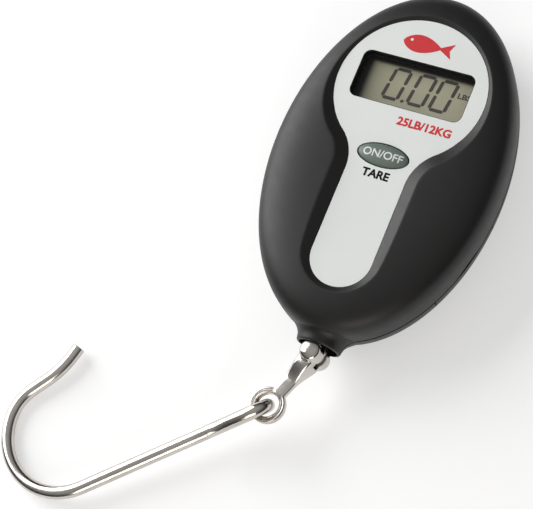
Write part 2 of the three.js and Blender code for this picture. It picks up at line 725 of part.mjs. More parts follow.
// ---------- hook ----------
// The wire's centre line, drawn from the ring's centre with the shank along +X. The wire is folded
// through the ring: the short leg lies on top of the shank, in a plane that leans by foldLean.
function hookPath() {
  const lean = hook.foldLean * degree;
  const raised = (x, lift) => new THREE.Vector3(x, lift * Math.sin(lean), lift * Math.cos(lean));
  const points = [];
  const legEnd = hook.foldEndGap - hook.foldRadius;
  const legSteps = 6;
  for (let step = 0; step < legSteps; step += 1) {
    const part = step / legSteps;
    const ease = part * part * (3 - 2 * part);
    const x = hook.foldLength + (hook.foldRadius - hook.foldLength) * part;
    points.push(raised(x, legEnd + (hook.foldRadius - legEnd) * ease));
  }
  for (let angle = 90; angle <= 270; angle += 22.5) {
    const x = hook.foldRadius * (1 + Math.cos(angle * degree));
    points.push(raised(x, hook.foldRadius * Math.sin(angle * degree)));
  }
  const plane = raised(0, -hook.foldRadius);
  let place = new THREE.Vector2(hook.foldRadius, plane.y);
  let heading = 0;
  const straight = (length, steps) => {
    for (let step = 1; step <= steps; step += 1) {
      const part = (length * step) / steps;
      points.push(new THREE.Vector3(place.x + part * Math.cos(heading), place.y + part * Math.sin(heading), plane.z));
    }
    place = new THREE.Vector2(points.at(-1).x, points.at(-1).y);
  };
  const bend = (radius, angle, steps) => {
    const side = Math.sign(angle);
    const centre = new THREE.Vector2(-side * Math.sin(heading), side * Math.cos(heading));
    centre.multiplyScalar(radius).add(place);
    const start = heading;
    for (let step = 1; step <= steps; step += 1) {
      heading = start + (angle * degree * step) / steps;
      const x = centre.x + side * radius * Math.sin(heading);
      const y = centre.y - side * radius * Math.cos(heading);
      points.push(new THREE.Vector3(x, y, plane.z));
    }
    place = new THREE.Vector2(points.at(-1).x, points.at(-1).y);
  };
  straight(hook.shank - hook.foldRadius, 8);
  bend(hook.bendRadius, -hook.bendAngle, 14);
  bend(hook.backRadius, -hook.backAngle, 5);
  straight(hook.backStraight, 2);
  bend(hook.flareRadius, hook.flareAngle, 3);
  straight(hook.tipStraight, 2);
  return new THREE.CatmullRomCurve3(points, false, "centripetal");
}

function hookSolid() {
  const section = new THREE.Shape().absarc(0, 0, hook.wireRadius, 0, 2 * Math.PI, false);
  const settings = { steps: 110, curveSegments: 5, extrudePath: hookPath() };
  return toSolid(new THREE.ExtrudeGeometry(section, settings));
}

const hookGroup = new THREE.Group();
hookGroup.position.set(0, -link.length, 0);
hookGroup.rotation.z = (-90 - hook.turn) * degree;
linkGroup.add(hookGroup);
subMesh("hook", hookSolid(), colour.metal, 0.15, 1, hookGroup);

export default scale;
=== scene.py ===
"""Digital fish scale: the looks. Lengths are millimetres in the part's own frame; MM makes them metres."""

import math

import bmesh
import bpy
from mathutils import Matrix, Vector


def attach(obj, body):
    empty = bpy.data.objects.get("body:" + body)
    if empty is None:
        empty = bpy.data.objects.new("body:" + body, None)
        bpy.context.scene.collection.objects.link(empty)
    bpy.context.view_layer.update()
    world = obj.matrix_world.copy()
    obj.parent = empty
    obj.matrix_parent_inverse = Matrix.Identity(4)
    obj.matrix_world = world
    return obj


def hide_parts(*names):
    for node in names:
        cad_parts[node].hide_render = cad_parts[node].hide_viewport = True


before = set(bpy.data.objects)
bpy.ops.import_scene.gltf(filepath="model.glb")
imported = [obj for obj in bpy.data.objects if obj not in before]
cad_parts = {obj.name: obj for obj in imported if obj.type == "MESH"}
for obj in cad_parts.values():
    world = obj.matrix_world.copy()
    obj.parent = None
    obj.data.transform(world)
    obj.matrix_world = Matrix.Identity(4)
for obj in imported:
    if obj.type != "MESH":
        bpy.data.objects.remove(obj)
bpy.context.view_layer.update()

MM = 0.001
FAR = 60.0  # well past the housing's edge, for tools that cut it
PAST = 1.0  # how far a cutting tool runs beyond what it cuts
FIT = 0.3  # room round a piece that drops in or slides
CRACK = 0.005  # points closer than this become one
SEAM = 11.0

# The camera: a bearing round the part, a height above the horizon, a roll, and where it looks.
VIEW_AZIMUTH = math.radians(53.72)
VIEW_ELEVATION = math.radians(65.049)
VIEW_ROLL = math.radians(-33.31)
VIEW_TARGET = (-20.465, -28.927, SEAM)
VIEW_DISTANCE = 370.95
VIEW_LENS = 106.289

# The egg-shaped housing.
HALF_WIDTH = 27.9
HALF_LENGTH = 44.0
DOME_RISE = 11.1
DOME_POWER = 5
BACK_SHOULDER = 8.8
WALL = 2.0
CEILING = 17.6
SEAM_GAP = 0.15
TUCK = 0.998  # the front shell's edge at the seam, as a share of its full reach
SCREW_PLACES = [(12.2, 33), (-12.2, 33), (13.5, -30.5), (-13.5, -30.5)]
SCREW_HOLE_RADIUS = 2.2
SCREW_HOLE_TOP = 4.5
RAYS = 320
RAY_CENTRE_Y = 5.0

# The keyhole faceplate.
PLATE_TOP = 20.6
PLATE_THICKNESS = 0.6
HEAD_RADIUS = 18.2
HEAD_Y = 17.0
NECK_HALF = 7.4
FILLET = 11.5
END_Y = -26.6
CHAMFER_WIDTH = 2.9
CHAMFER_RISE = 1.5
CHAMFER_ROUNDING = 0.14  # how softly the chamfer's outer edge turns into the dome
PLATE_GAP = 0.12

# The window, the glass and the button.
WINDOW_Y = 18.1
WINDOW_WIDTH = 28.1
WINDOW_HEIGHT = 12.5
WINDOW_CORNER = 2.0
LENS_MARGIN = 1.2
LENS_TOP = 19.7
LENS_THICKNESS = 0.8
LCD_TOP = 17.3
LCD_THICKNESS = 1.7
LCD_WIDTH = 32.0
LCD_HEIGHT = 16.5
INK = 0.02  # how far printed ink stands off the glass or the button
BUTTON_Y = -0.6
BUTTON_HALF_WIDTH = 6.15
BUTTON_HALF_HEIGHT = 2.7
BUTTON_TOP = 21.47
BUTTON_FOOT = 16.5
BUTTON_CROWN = 1.0  # how far the cap's rim lies below its middle

# Where each printed mark sits: its low and high x, then its low and high y.
UNIT_SPANS = (10.4, 13.5, 19.3, 20.6)
TARE_SPANS = (-3.25, 3.25, -6.4, -4.5)
CAPACITY_SPANS = (0, 13.1, 7.8, 9.75)
BUTTON_LABEL_SPANS = (-4.7, 4.95, -1.6, 0.25)
BOLD = 0.11
MEDIUM = 0.05
FISH_Y = 28.8
FISH_EYE = (-4.3, 29.4)
FISH_EYE_RADIUS = 0.38

# The battery drawer, in its own heading.
DRAWER_HEADING = math.radians(-14.5)
DRAWER_HALF = 10.9
DRAWER_LOW = 2.1
DRAWER_TOP = 6.6
DRAWER_FLOOR = 0.8
DRAWER_LEDGE = 1.4  # how much of the floor is left under the coin cell's rim
CONTACT_SLOT_HALF = 2.5
BEZEL_INNER = 11.2
CELL_X = 12.4
CELL_Y = -13.8
CELL_RADIUS = 10.0
SLOT_HALF = 7.6
SLOT_LOW = 9.2
SLOT_RIM = 0.7
SLOT_INNER = 1.8

# The neck, the link and the hook.
NECK_END = -46.3
MOUTH_RADIUS = 4.7
MOUTH_FLOOR = -42.9
BORE_RADIUS = 3.5
BORE_END = -37.0
PIVOT_Y = -48.2
LINK_LENGTH = 15.617
LINK_TILT = math.radians(22.71)
STRAP_START = 1.5
STRAP_END = LINK_LENGTH - 3.4
STRAP_HALF_WIDTH = 1.8
STRAP_HALF_THICK = 1.0
TONGUE_SLOT_HALF = 1.1
TONGUE_SLOT_BACK = -2.4
PIN_RADIUS = 1.1
PIN_TIP = 3.4
RING_RADIUS = 4.4
RING_HOLE = 2.8
HOOK_TURN = math.radians(25.29)
WIRE = 1.6
FOLD_RADIUS = 3.1
FOLD_LEAN = math.radians(22)
FOLD_LENGTH = 15.2
FOLD_GAP = 3.4
SHANK = 49.1
HOOK_REACH = 69.1
FLOOR_GAP = 0.05
# The hook's wire after its straight shank: a length and no turn, or a bend's radius and its turn in degrees.
HOOK_BENDS = [(15.3, -125), (11.3, -44), (4.7, 0), (21, 22), (2.5, 0)]


# ---------- camera ----------
def add_camera():
    """The camera on its bearing, rolled about its own line of sight."""
    back = Vector((
        math.sin(VIEW_AZIMUTH) * math.cos(VIEW_ELEVATION),
        -math.cos(VIEW_AZIMUTH) * math.cos(VIEW_ELEVATION),
        math.sin(VIEW_ELEVATION),
    ))
    right = Vector((0, 0, 1)).cross(back).normalized()
    up = back.cross(right)
    turned_right = right * math.cos(VIEW_ROLL) + up * math.sin(VIEW_ROLL)
    turned_up = up * math.cos(VIEW_ROLL) - right * math.sin(VIEW_ROLL)
    place = Matrix((turned_right, turned_up, back)).transposed().to_4x4()
    place.translation = (Vector(VIEW_TARGET) + back * VIEW_DISTANCE) * MM
    data = bpy.data.cameras.new("camera")
    data.lens = VIEW_LENS
    data.sensor_width = 36
    data.clip_start = 0.01
    camera = bpy.data.objects.new("camera", data)
    camera.matrix_world = place
    bpy.context.scene.collection.objects.link(camera)
    bpy.context.scene.camera = camera


add_camera()
bpy.context.scene.view_settings.view_transform = "Standard"


# ---------- materials ----------
def material(name, colour, roughness, metallic=0.0, **options):
    """A Principled material with a noise-driven colour, roughness and bump, all in object space."""
    made = bpy.data.materials.new(name)
    made.use_nodes = True
    nodes = made.node_tree.nodes
    links = made.node_tree.links
    shader = nodes["Principled BSDF"]
    shader.inputs["Metallic"].default_value = metallic
    shader.inputs["IOR"].default_value = options.get("ior", 1.45)
    shader.inputs["Specular IOR Level"].default_value = options.get("specular", 0.5)
    shader.inputs["Alpha"].default_value = options.get("alpha", 1.0)
    shader.inputs["Emission Color"].default_value = (1, 1, 1, 1)
    shader.inputs["Emission Strength"].default_value = options.get("glow", 0.0)
    coordinates = nodes.new("ShaderNodeTexCoord")
    noise = nodes.new("ShaderNodeTexNoise")
    noise.inputs["Scale"].default_value = options.get("scale", 400)
    noise.inputs["Detail"].default_value = 4
    links.new(coordinates.outputs["Object"], noise.inputs["Vector"])
    spread = options.get("spread", 0.06)
    tint = nodes.new("ShaderNodeValToRGB")
    tint.color_ramp.elements[0].position = 0.3
    tint.color_ramp.elements[1].position = 0.7
    tint.color_ramp.elements[0].color = [c * (1 - spread) for c in colour] + [1]
    tint.color_ramp.elements[1].color = [min(1, c * (1 + spread)) for c in colour] + [1]
    links.new(noise.outputs["Fac"], tint.inputs["Fac"])
    links.new(tint.outputs["Color"], shader.inputs["Base Color"])
    rough = nodes.new("ShaderNodeMapRange")
    rough.inputs["To Min"].default_value = roughness * 0.85
    rough.inputs["To Max"].default_value = min(1, roughness * 1.15)
    links.new(noise.outputs["Fac"], rough.inputs["Value"])
    links.new(rough.outputs["Result"], shader.inputs["Roughness"])
    grain = nodes.new("ShaderNodeTexNoise")
    grain.inputs["Scale"].default_value = options.get("grain_scale", 3000)
    links.new(coordinates.outputs["Object"], grain.inputs["Vector"])
    bump = nodes.new("ShaderNodeBump")
    bump.inputs["Strength"].default_value = options.get("bump", 0.1)
    bump.inputs["Distance"].default_value = 0.00004
    links.new(grain.outputs["Fac"], bump.inputs["Height"])
    links.new(bump.outputs["Normal"], shader.inputs["Normal"])
    return made


def shade_towards_corner(made):
    """Darkens the glass towards its left and upper edges, where the deep bezel shades it."""
    nodes = made.node_tree.nodes
    links = made.node_tree.links
    coordinates = nodes.new("ShaderNodeTexCoord")
    split = nodes.new("ShaderNodeSeparateXYZ")
    links.new(coordinates.outputs["Object"], split.inputs["Vector"])
    product = nodes.new("ShaderNodeMath")
    product.operation = "MULTIPLY"
    for i, (axis, dark, clear) in enumerate([("X", -12.7, -11.0), ("Y", WINDOW_Y + 5.7, WINDOW_Y + 4.6)]):
        fade = nodes.new("ShaderNodeMapRange")
        fade.interpolation_type = "SMOOTHSTEP"
        fade.inputs["From Min"].default_value = dark * MM
        fade.inputs["From Max"].default_value = clear * MM
        links.new(split.outputs[axis], fade.inputs["Value"])
        links.new(fade.outputs["Result"], product.inputs[i])
    mix = nodes.new("ShaderNodeMix")
    mix.data_type = "RGBA"
    mix.inputs["A"].default_value = (0.006, 0.007, 0.007, 1)
    colour = nodes["Principled BSDF"].inputs["Base Color"]
    links.new(colour.links[0].from_socket, mix.inputs["B"])
    links.new(product.outputs["Value"], mix.inputs["Factor"])
    links.new(mix.outputs["Result"], colour)


shell_paint = material("shell_paint", (0.0085, 0.0078, 0.0076), 0.46, bump=0.2, spread=0.05, specular=0.5)
plate_paint = material("plate_paint", (0.83, 0.855, 0.84), 0.4, bump=0.06, spread=0.01, scale=120)
liner_black = material("liner_black", (0.012, 0.011, 0.011), 0.6)
lens_clear = material("lens_clear", (0.05, 0.05, 0.05), 0.05, alpha=0.07, spread=0.01, bump=0.0)
lcd_green = material("lcd_green", (0.52, 0.5, 0.355), 0.35, spread=0.03, scale=90)
shade_towards_corner(lcd_green)
segment_ink = material("segment_ink", (0.075, 0.062, 0.055), 0.5)
print_black = material("print_black", (0.006, 0.006, 0.006), 0.7, specular=0.2)
print_red = material("print_red", (0.66, 0.028, 0.035), 0.5)
print_white = material("print_white", (0.78, 0.8, 0.78), 0.5)
button_rubber = material("button_rubber", (0.145, 0.185, 0.16), 0.45, bump=0.2)
dark_plastic = material("dark_plastic", (0.03, 0.03, 0.03), 0.45)
contact_rubber = material("contact_rubber", (0.09, 0.09, 0.1), 0.7)
board_green = material("board_green", (0.02, 0.12, 0.05), 0.45)
cell_metal = material("cell_metal", (0.75, 0.76, 0.78), 0.35, 1.0)
gauge_film = material("gauge_film", (0.62, 0.4, 0.12), 0.4)
steel = material("steel", (0.66, 0.65, 0.63), 0.22, 1.0, bump=0.1)
bright_metal = material("bright_metal", (0.58, 0.55, 0.51), 0.19, 1.0, bump=0.08, scale=250, spread=0.1)
brass = material("brass", (0.83, 0.62, 0.28), 0.25, 1.0)


# ---------- mesh helpers ----------
def finish_mesh(name, mesh, paint, sharp=35):
    """An object from a bmesh in millimetres, smooth except at edges sharper than that many degrees."""
    bmesh.ops.recalc_face_normals(mesh, faces=mesh.faces)
    data = bpy.data.meshes.new(name)
    mesh.to_mesh(data)
    mesh.free()
    data.transform(Matrix.Scale(MM, 4))
    made = bpy.data.objects.new(name, data)
    bpy.context.scene.collection.objects.link(made)
    smooth(made, sharp)
    if paint:
        data.materials.append(paint)
    return made


def smooth(made, sharp=35):
    made.data.shade_smooth()
    made.data.set_sharp_from_angle(angle=math.radians(sharp))


def loft(rings, closed=False, paint=None, name="loft", sharp=35):
    """Joins rings of equal length. A ring of one point closes that end; closed joins last to first."""
    mesh = bmesh.new()
    rows = [[mesh.verts.new(point) for point in ring] for ring in rings]
    pairs = list(zip(rows, rows[1:]))
    if closed:
        pairs.append((rows[-1], rows[0]))
    for low, high in pairs:
        count = max(len(low), len(high))
        for i in range(count):
            j = (i + 1) % count
            if len(low) == 1:
                mesh.faces.new((low[0], high[i], high[j]))
            elif len(high) == 1:
                mesh.faces.new((low[i], low[j], high[0]))
            else:
                mesh.faces.new((low[i], low[j], high[j], high[i]))
    return finish_mesh(name, mesh, paint, sharp)


def prism(outline, low, high, name="prism", paint=None, sharp=35):
    """A flat outline of (x, y) points pulled from height low to height high."""
    mesh = bmesh.new()
    base = [mesh.verts.new((x, y, low)) for x, y in outline]
    top = [mesh.verts.new((x, y, high)) for x, y in outline]
    mesh.faces.new(base[::-1])
    mesh.faces.new(top)
    for i in range(len(outline)):
        j = (i + 1) % len(outline)
        mesh.faces.new((base[i], base[j], top[j], top[i]))
    return finish_mesh(name, mesh, paint, sharp)


def block(low, high, name="block"):
    outline = [(low[0], low[1]), (high[0], low[1]), (high[0], high[1]), (low[0], high[1])]
    return prism(outline, low[2], high[2], name)


def turned(profile, sides=96, name="turned", paint=None, sharp=35):
    """Turns (radius, height) points about +Z; the profile starts and ends on the axis or is closed."""
    rings = []
    closed = profile[0][0] > 0
    for radius, height in profile:
        if radius == 0:
            rings.append([(0, 0, height)])
            continue
        turn = [2 * math.pi * i / sides for i in range(sides)]
        rings.append([(radius * math.cos(a), radius * math.sin(a), height) for a in turn])
    return loft(rings, closed, paint, name, sharp)


def cut(target, tool, operation="DIFFERENCE"):
    """Applies an exact boolean and drops the tool."""
    step = target.modifiers.new("cut", "BOOLEAN")
    step.operation = operation
    step.solver = "EXACT"
    step.object = tool
    apply_modifiers(target)
    bpy.data.objects.remove(tool)
    weld(target)
    smooth(target)


def weld(target):
    """Closes the hair-thin cracks that an exact boolean leaves."""
    mesh = bmesh.new()
    mesh.from_mesh(target.data)
    bmesh.ops.remove_doubles(mesh, verts=mesh.verts, dist=CRACK * MM)
    bmesh.ops.holes_fill(mesh, edges=[edge for edge in mesh.edges if edge.is_boundary], sides=0)
    mesh.to_mesh(target.data)
    mesh.free()


def apply_modifiers(target):
    graph = bpy.context.evaluated_depsgraph_get()
    made = bpy.data.meshes.new_from_object(target.evaluated_get(graph))
    target.modifiers.clear()
    target.data = made


def moved(made, matrix):
    """Moves the mesh itself, with the matrix in millimetres."""
    scaled = matrix.copy()
    scaled.translation = matrix.translation * MM
    made.data.transform(scaled)
    return made


def circle(radius, x=0.0, y=0.0, count=96):
    turn = [2 * math.pi * i / count for i in range(count)]
    return [(x + radius * math.cos(a), y + radius * math.sin(a)) for a in turn]


def rounded_rectangle(width, height, radius, centre_y, steps=10):
    points = []
    x = width / 2 - radius
    y = height / 2 - radius
    for quarter, (sx, sy) in enumerate([(1, -1), (1, 1), (-1, 1), (-1, -1)]):
        for step in range(steps + 1):
            angle = math.radians(-90 + 90 * quarter + 90 * step / steps)
            points.append((sx * x + radius * math.cos(angle), centre_y + sy * y + radius * math.sin(angle)))
    return points


def ellipse(half_width, half_height, centre_y, count=96):
    turn = [2 * math.pi * i / count for i in range(count)]
    return [(half_width * math.cos(a), centre_y + half_height * math.sin(a)) for a in turn]


# ---------- keyhole outline ----------
FILLET_X = NECK_HALF + FILLET
FILLET_DROP = math.sqrt((HEAD_RADIUS + FILLET) ** 2 - FILLET_X ** 2)
FILLET_Y = HEAD_Y - FILLET_DROP


def keyhole_distance(x, y):
    """How far a point lies outside the faceplate's outline; negative inside."""
    x = abs(x)
    if y <= END_Y:
        return math.hypot(x, y - END_Y) - NECK_HALF
    if y <= FILLET_Y:
        return x - NECK_HALF
    if FILLET_X * (y - HEAD_Y) + FILLET_DROP * x >= 0:
        return math.hypot(x, y - HEAD_Y) - HEAD_RADIUS
    return FILLET - math.hypot(x - FILLET_X, y - FILLET_Y)


def on_ray(angle, reach):
    return reach * math.cos(angle), RAY_CENTRE_Y + reach * math.sin(angle)


def solve(measure, low, high):
    """The value between low and high where a rising measure passes zero."""
    for _ in range(40):
        middle = (low + high) / 2
        if measure(middle) < 0:
            low = middle
        else:
            high = middle
    return (low + high) / 2


def keyhole_reach(angle, offset):
    return solve(lambda reach: keyhole_distance(*on_ray(angle, reach)) - offset, 0, 60)


def egg_share(x, y, inset=0.0):
    return math.hypot(x / (HALF_WIDTH - inset), y / (HALF_LENGTH - inset))


def egg_reach(angle, share, inset=0.0):
    return solve(lambda reach: egg_share(*on_ray(angle, reach), inset) - share, 0, 90)


def dome_height(share, rise):
    return SEAM + rise * max(0.0, 1 - share ** DOME_POWER) ** (1 / DOME_POWER)


def chamfer_height(x, y):
    return PLATE_TOP + (keyhole_distance(x, y) - PLATE_GAP) * CHAMFER_RISE / CHAMFER_WIDTH


def front_height(x, y):
    dome = dome_height(egg_share(x, y), DOME_RISE)
    ramp = chamfer_height(x, y)
    overlap = max(CHAMFER_ROUNDING - abs(dome - ramp), 0) / CHAMFER_ROUNDING
    return min(dome, ramp) - overlap * overlap * CHAMFER_ROUNDING / 4


ANGLES = [2 * math.pi * (i + 0.5) / RAYS for i in range(RAYS)]


def front_rings():
    """Rings of the outer face, from the recess's edge to just past the seam, where it is cut off."""
    ramp_parts = [0, 0.15, 0.35, 0.55, 0.72, 0.84, 0.92, 0.97]
    dome_steps = 34
    columns = []
    for angle in ANGLES:
        start = keyhole_reach(angle, PLATE_GAP)
        edge = solve(
            lambda reach: chamfer_height(*on_ray(angle, reach))
            - dome_height(egg_share(*on_ray(angle, reach)), DOME_RISE),
            start,
            egg_reach(angle, 1),
        )
        reaches = [start + (edge - start) * part for part in ramp_parts]
        share = egg_share(*on_ray(angle, edge))
        slope = math.atan2((1 - share ** DOME_POWER) ** (1 / DOME_POWER), share)
        for step in range(dome_steps):
            part = (step / (dome_steps - 1)) ** 1.35
            turn = slope * (1 - part)
            size = (math.cos(turn) ** DOME_POWER + math.sin(turn) ** DOME_POWER) ** (1 / DOME_POWER)
            reaches.append(egg_reach(angle, math.cos(turn) / size))
        column = []
        for reach in reaches:
            x, y = on_ray(angle, reach)
            column.append((x, y, max(front_height(x, y), SEAM + SEAM_GAP)))
        x, y = (value * TUCK for value in column[-1][:2])
        column[-1] = (x, y, SEAM + SEAM_GAP)
        column.append((x, y, SEAM - PAST))
        columns.append(column)
    return [list(ring) for ring in zip(*columns)]


def ring_at(share, height, inset=0.0):
    reaches = [(angle, egg_reach(angle, share, inset)) for angle in ANGLES]
    return [(*on_ray(angle, reach), height) for angle, reach in reaches]


def along_neck(made):
    """Lays a piece turned about +Z along the neck's axis, with its height running to +Y."""
    return moved(made, Matrix.Translation((0, 0, SEAM)) @ Matrix.Rotation(-math.pi / 2, 4, "X"))


def neck_collar(name):
    """The sleeve that the stud comes out of, with a soft lip and a flare that runs into the egg."""
    profile = [(0, NECK_END), (5.0, NECK_END), (5.22, -46.22), (5.36, -46.05), (5.42, -45.8), (5.5, -45.3)]
    profile += [(5.62, -44.8), (5.82, -44.3), (6.1, -43.85), (6.45, -43.4), (6.85, -43.0), (7.3, -42.6)]
    profile += [(7.7, -42.25), (7.9, -41.9), (7.9, -40.4), (0, -40.4)]
    return along_neck(turned(profile, 128, name))


def rod_y(low, high, radius, name="rod"):
    return along_neck(turned([(0, low), (radius, low), (radius, high), (0, high)], 96, name))


def cut_neck(shell):
    cut(shell, rod_y(NECK_END - 3, MOUTH_FLOOR, MOUTH_RADIUS))
    cut(shell, rod_y(MOUTH_FLOOR - PAST, BORE_END, BORE_RADIUS))


# ---------- housing ----------
def button_hole():
    return ellipse(BUTTON_HALF_WIDTH + FIT, BUTTON_HALF_HEIGHT + FIT, BUTTON_Y)


def front_shell():
    """The domed half: recess, neck, window, lens pocket, button hole and the scoop over the drawer."""
    outer = front_rings()
    floor_ring = [(x, y, PLATE_TOP - PLATE_THICKNESS - 0.05) for x, y, _ in outer[0]]
    inner = [ring_at(1, SEAM - PAST, WALL)]
    for share, height in [(1, 13), (0.985, 15.5), (0.955, 17), (0.93, CEILING)]:
        inner.append(ring_at(share, height, WALL))
    rings = [[(0, RAY_CENTRE_Y, floor_ring[0][2])], floor_ring] + outer + inner
    rings.append([(0, RAY_CENTRE_Y, CEILING)])
    shell = loft(rings, False, shell_paint, "shell_front")
    cut(shell, neck_collar("collar"), "UNION")
    cut(shell, block((-FAR, -FAR, -FAR), (FAR, FAR, SEAM + SEAM_GAP)))
    cut_neck(shell)
    window = rounded_rectangle(WINDOW_WIDTH, WINDOW_HEIGHT, WINDOW_CORNER, WINDOW_Y)
    below = CEILING - 2.6
    above = PLATE_TOP + 0.4
    cut(shell, prism(window, below, above))
    margin = 2 * (LENS_MARGIN + FIT)
    pocket = rounded_rectangle(WINDOW_WIDTH + margin, WINDOW_HEIGHT + margin, 3, WINDOW_Y)
    cut(shell, prism(pocket, LENS_TOP - LENS_THICKNESS - FIT, above))
    cut(shell, prism(button_hole(), below, above))
    wedge = [(13.2, -1), (20, -1), (20, 2.2), (14.0, 2.2)]
    scoop = prism(wedge, -SLOT_HALF - 3, SLOT_HALF + 3)
    moved(scoop, Matrix.Translation((0, 0, SEAM)) @ Matrix.Rotation(math.pi / 2, 4, "X"))
    cut(shell, moved(scoop, drawer_frame()))
    return shell


def drawer_frame():
    return Matrix.Translation((CELL_X, CELL_Y, 0)) @ Matrix.Rotation(DRAWER_HEADING, 4, "Z")


def rear_egg(inset, low, shoulder, top=SEAM, name="egg"):
    """The egg from its flat back at height low up to the seam, its lower edge rounded by the shoulder."""
    rings = [[(0, RAY_CENTRE_Y, low)]]
    steps = 22
    for step in range(steps + 1):
        angle = math.pi / 2 * (1 - step / steps)
        height = max(SEAM - (SEAM - low) * math.sin(angle), low)
        rings.append(ring_at(1, min(height, top), inset + shoulder * (1 - math.cos(angle))))
    rings.append([(0, RAY_CENTRE_Y, top)])
    return loft(rings, False, None, name)


def rear_shell():
    """The flat-backed half: hollow, with the neck, the drawer's opening and the screw holes."""
    shell = rear_egg(0, 0, BACK_SHOULDER, SEAM + 0.5, "shell_rear")
    shell.data.materials.append(shell_paint)
    cut(shell, rear_egg(WALL, WALL, BACK_SHOULDER - 1, SEAM + PAST))
    cut(shell, neck_collar("collar"), "UNION")
    cut(shell, block((-FAR, -FAR, SEAM - SEAM_GAP), (FAR, FAR, FAR)))
    cut_neck(shell)
    cut(shell, drawer_block(FIT))
    for x, y in SCREW_PLACES:
        cut(shell, prism(circle(SCREW_HOLE_RADIUS, x, y), -PAST, SCREW_HOLE_TOP))
    return shell


def drawer_block(grow):
    """The tray and its taller front, running out past the housing; grow makes it the hole it slides in."""
    half = DRAWER_HALF + grow
    low = DRAWER_LOW - grow
    top = SEAM - SEAM_GAP + (PAST if grow else 0)
    side = [(-half, low), (FAR, low), (FAR, top), (BEZEL_INNER - grow, top)]
    side += [(BEZEL_INNER - grow, DRAWER_TOP + grow), (-half, DRAWER_TOP + grow)]
    drawer = prism(side, -half, half, "drawer")
    return moved(drawer, drawer_frame() @ Matrix.Rotation(math.pi / 2, 4, "X"))


def battery_drawer():
    """The drawer: its front follows the housing, with a pocket for the cell and a nail slot."""
    drawer = drawer_block(0)
    cut(drawer, rear_egg(0, 0, BACK_SHOULDER, SEAM - SEAM_GAP / 2), "INTERSECT")
    above = DRAWER_TOP + 1.4
    pocket = circle(CELL_RADIUS + FIT, CELL_X, CELL_Y, 128)
    cut(drawer, prism(pocket, DRAWER_LOW + DRAWER_FLOOR, above))
    opening = circle(CELL_RADIUS - DRAWER_LEDGE, CELL_X, CELL_Y, 128)
    cut(drawer, prism(opening, 0, above))
    groove = rear_egg(SLOT_RIM, SLOT_LOW, 0, SEAM + PAST)
    cut(groove, rear_egg(SLOT_INNER, SLOT_LOW - 1.2, 0, SEAM + 2 * PAST))
    reach = moved(block((BEZEL_INNER - PAST, -SLOT_HALF, 0), (FAR, SLOT_HALF, FAR)), drawer_frame())
    cut(groove, reach, "INTERSECT")
    cut(drawer, groove)
    slot_low = (-FAR, -CONTACT_SLOT_HALF, DRAWER_LOW - PAST)
    contact_slot = block(slot_low, (0, CONTACT_SLOT_HALF, DRAWER_LOW + 1.1))
    cut(drawer, moved(contact_slot, drawer_frame()))
    drawer.data.materials.clear()
    drawer.data.materials.append(shell_paint)
    return drawer


# ---------- faceplate and print ----------
def plate_outline():
    """The keyhole by its own arcs, so that the handle's sides stay straight."""
    lean = math.atan2(FILLET_DROP, FILLET_X)
    points = []

    def arc(x, y, radius, start, end, steps):
        for step in range(steps + 1):
            angle = start + (end - start) * step / steps
            points.append((x + radius * math.cos(angle), y + radius * math.sin(angle)))

    arc(0, HEAD_Y, HEAD_RADIUS, -lean, math.pi + lean, 120)
    arc(-FILLET_X, FILLET_Y, FILLET, lean, 0, 24)
    arc(0, END_Y, NECK_HALF, math.pi, 2 * math.pi, 64)
    arc(FILLET_X, FILLET_Y, FILLET, math.pi, math.pi - lean, 24)
    return points


def flat_sheet(name, outlines, low, high, paint, bevel=0.0):
    """A flat sheet with holes, from a filled curve: the first outline is the edge and the rest are holes."""
    data = bpy.data.curves.new(name, "CURVE")
    data.dimensions = "2D"
    data.fill_mode = "BOTH"
    data.extrude = ((high - low) / 2 - bevel) * MM
    data.bevel_depth = bevel * MM
    data.bevel_resolution = 2
    data.offset = -bevel * MM
    for outline in outlines:
        spline = data.splines.new("POLY")
        spline.points.add(len(outline) - 1)
        for point, (x, y) in zip(spline.points, outline):
            point.co = (x * MM, y * MM, 0, 1)
        spline.use_cyclic_u = True
    made = bpy.data.objects.new(name, data)
    bpy.context.scene.collection.objects.link(made)
    return curve_to_mesh(made, (low + high) / 2, paint)


def curve_to_mesh(curve, height, paint):
    graph = bpy.context.evaluated_depsgraph_get()
    data = bpy.data.meshes.new_from_object(curve.evaluated_get(graph))
    data.transform(Matrix.Translation((0, 0, height * MM)))
    made = bpy.data.objects.new(curve.name, data)
    bpy.context.scene.collection.objects.link(made)
    bpy.data.objects.remove(curve)
    data.materials.clear()
    data.materials.append(paint)
    smooth(made, 30)
    return made


def printed(name, text, spans, height, paint, weight=0.0, thickness=0.05):
    """Thin raised ink fitted into spans = (low x, high x, low y, high y); weight thickens its strokes."""
    data = bpy.data.curves.new(name, "FONT")
    data.body = text
    data.size = 0.01
    data.extrude = thickness * MM / 2
    curve = bpy.data.objects.new(name, data)
    bpy.context.scene.collection.objects.link(curve)
    made = curve_to_mesh(curve, 0, paint)
    low_x, high_x, low_y, high_y = (value * MM for value in spans)
    xs = [v.co.x for v in made.data.vertices]
    ys = [v.co.y for v in made.data.vertices]
    wide = (high_x - low_x) / (max(xs) - min(xs))
    tall = (high_y - low_y) / (max(ys) - min(ys))
    low_left = (min(xs), min(ys))
    for v in made.data.vertices:
        v.co.x = low_x + (v.co.x - low_left[0]) * wide
        v.co.y = low_y + (v.co.y - low_left[1]) * tall
        v.co.z += height * MM
    if weight:
        thicken(made, weight)
    return made


